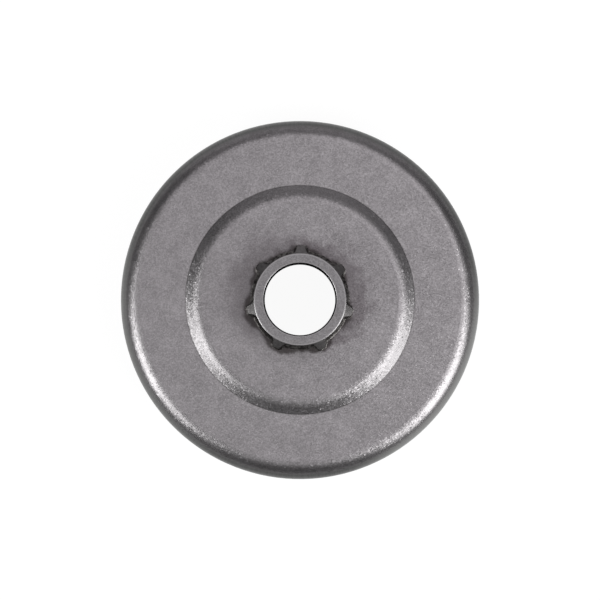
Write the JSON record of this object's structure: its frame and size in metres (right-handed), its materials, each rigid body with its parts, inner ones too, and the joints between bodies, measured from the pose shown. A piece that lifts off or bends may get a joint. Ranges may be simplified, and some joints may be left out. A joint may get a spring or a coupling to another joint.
{
  "type": "chainsaw clutch drum with splined sprocket hub",
  "caption": "Drawn steel clutch drum with a raised boss and a brazed, splined hub that carries a chainsaw's rim sprocket on a needle bearing bore.",
  "frame": {"origin": "centre of the drum's open mouth, on the plane it rests on", "axes": "+Z along the axis from the mouth towards the hub's free end, with one spline pointing along +Y"},
  "size_m": [0.0764, 0.0764, 0.0362],
  "materials": {
    "drum_steel": "blasted, dark grey",
    "hub_steel": "turned, dark grey",
    "braze": "heat-stained, uneven"
  },
  "bodies": {
    "root": {"drum_cup": "drum_steel", "splined_hub": "hub_steel", "braze_fillet": "braze"}
  },
  "joints": []
}
